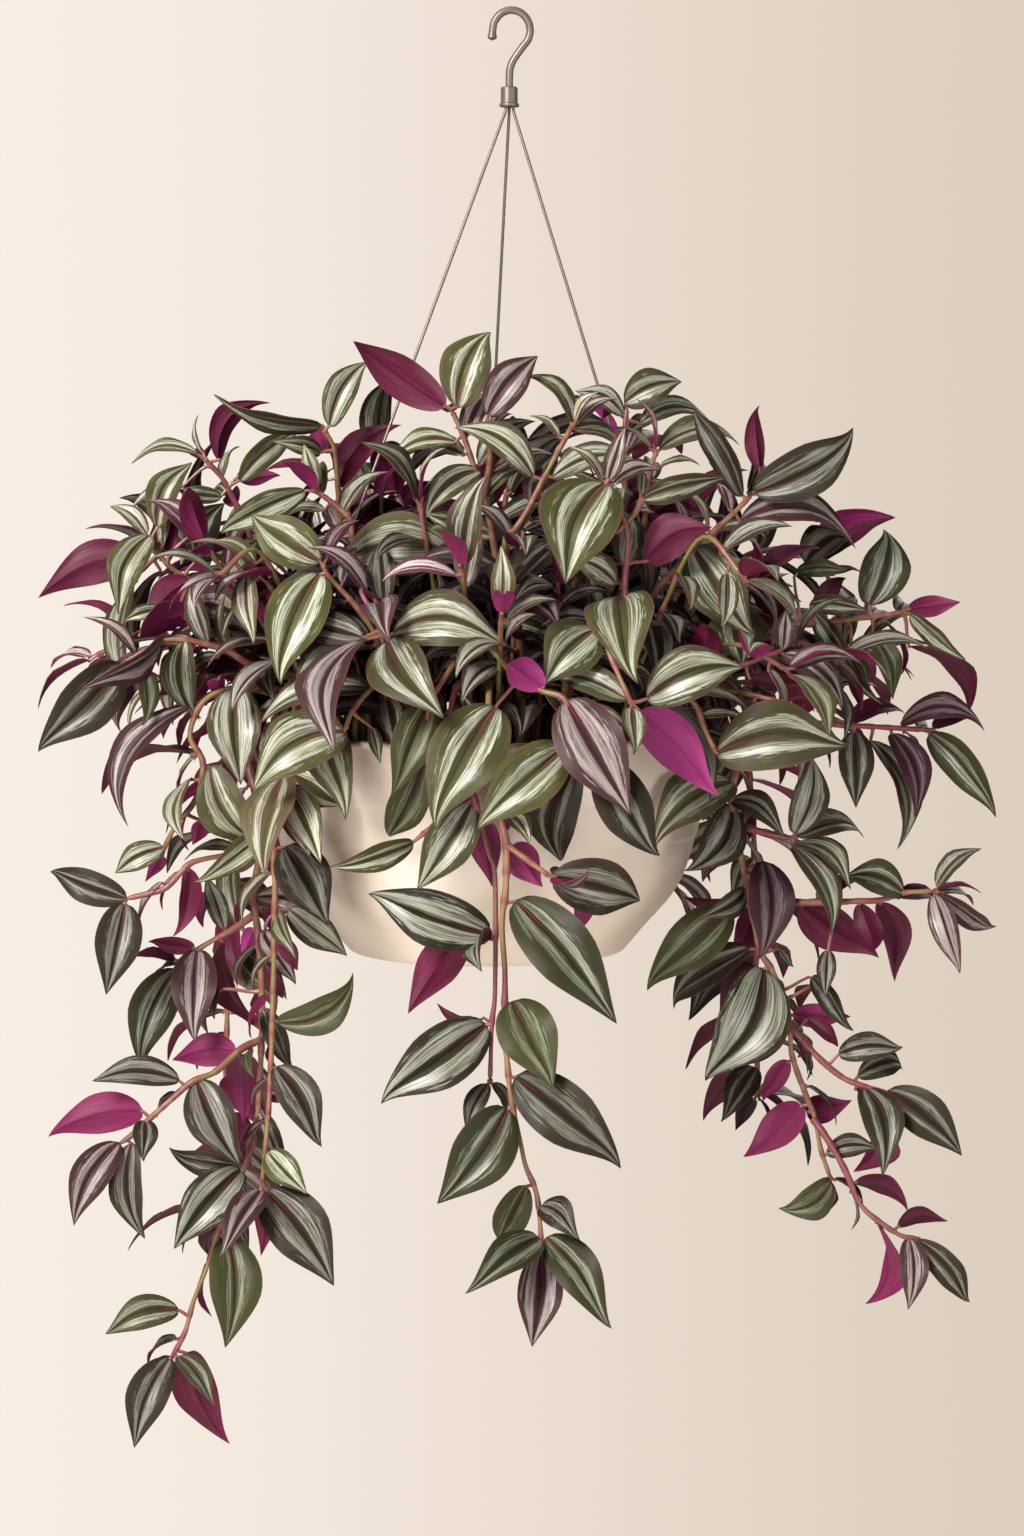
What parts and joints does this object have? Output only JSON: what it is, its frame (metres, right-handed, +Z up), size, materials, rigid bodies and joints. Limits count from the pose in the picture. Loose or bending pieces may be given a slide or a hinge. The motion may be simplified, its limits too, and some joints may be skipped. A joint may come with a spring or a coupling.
{
  "type": "potted hanging plant",
  "caption": "Hanging pot of trailing inch plant with silver-striped and purple leaves, soil, wire hanger, collar and open hook.",
  "frame": {"origin": "inside of the hook's bend, where the pot hangs; the pot's own axis stands 14 mm to the left of it", "axes": "+Z up, +X to the right as seen from the front, +Y from the front to the back"},
  "size_m": [0.5179, 0.4317, 0.7772],
  "materials": {
    "pot": "smooth ivory, semi-gloss",
    "soil": "rough dark potting soil",
    "hanger": "taupe, glossy",
    "foliage": "satin leaves, silver bands, purple undersides"
  },
  "bodies": {
    "root": {"pot": "pot", "soil": "soil", "collar": "hanger", "hook": "hanger", "wire_left": "hanger", "wire_back": "hanger", "wire_right": "hanger", "stem_left_outer": "foliage", "stem_left_middle": "foliage", "stem_left_low": "foliage", "stem_left_back": "foliage", "stem_left_top": "foliage", "stem_left_inner": "foliage", "stem_left_front": "foliage", "stem_front_left": "foliage", "stem_rim_left": "foliage", "stem_top_front": "foliage", "stem_top_middle": "foliage", "stem_top_right": "foliage", "stem_right_inner": "foliage", "stem_front_right": "foliage", "stem_right_top": "foliage", "stem_right_front": "foliage", "stem_right_outer": "foliage", "stem_right_low": "foliage", "stem_front_middle": "foliage", "stem_front_rim": "foliage", "stem_rim_middle": "foliage", "stem_rim_right": "foliage", "vine_left_outer": "foliage", "vine_left": "foliage", "vine_left_inner": "foliage", "vine_front": "foliage", "vine_front_second": "foliage", "vine_right": "foliage", "shoot_back_1": "foliage", "vine_back_2": "foliage", "crown_back_3": "foliage", "vine_back_4": "foliage", "shoot_back_5": "foliage", "vine_back_6": "foliage", "crown_back_7": "foliage", "shoot_back_8": "foliage", "vine_back_9": "foliage", "crown_back_10": "foliage", "shoot_back_11": "foliage", "vine_back_12": "foliage", "shoot_back_13": "foliage"}
  },
  "joints": []
}
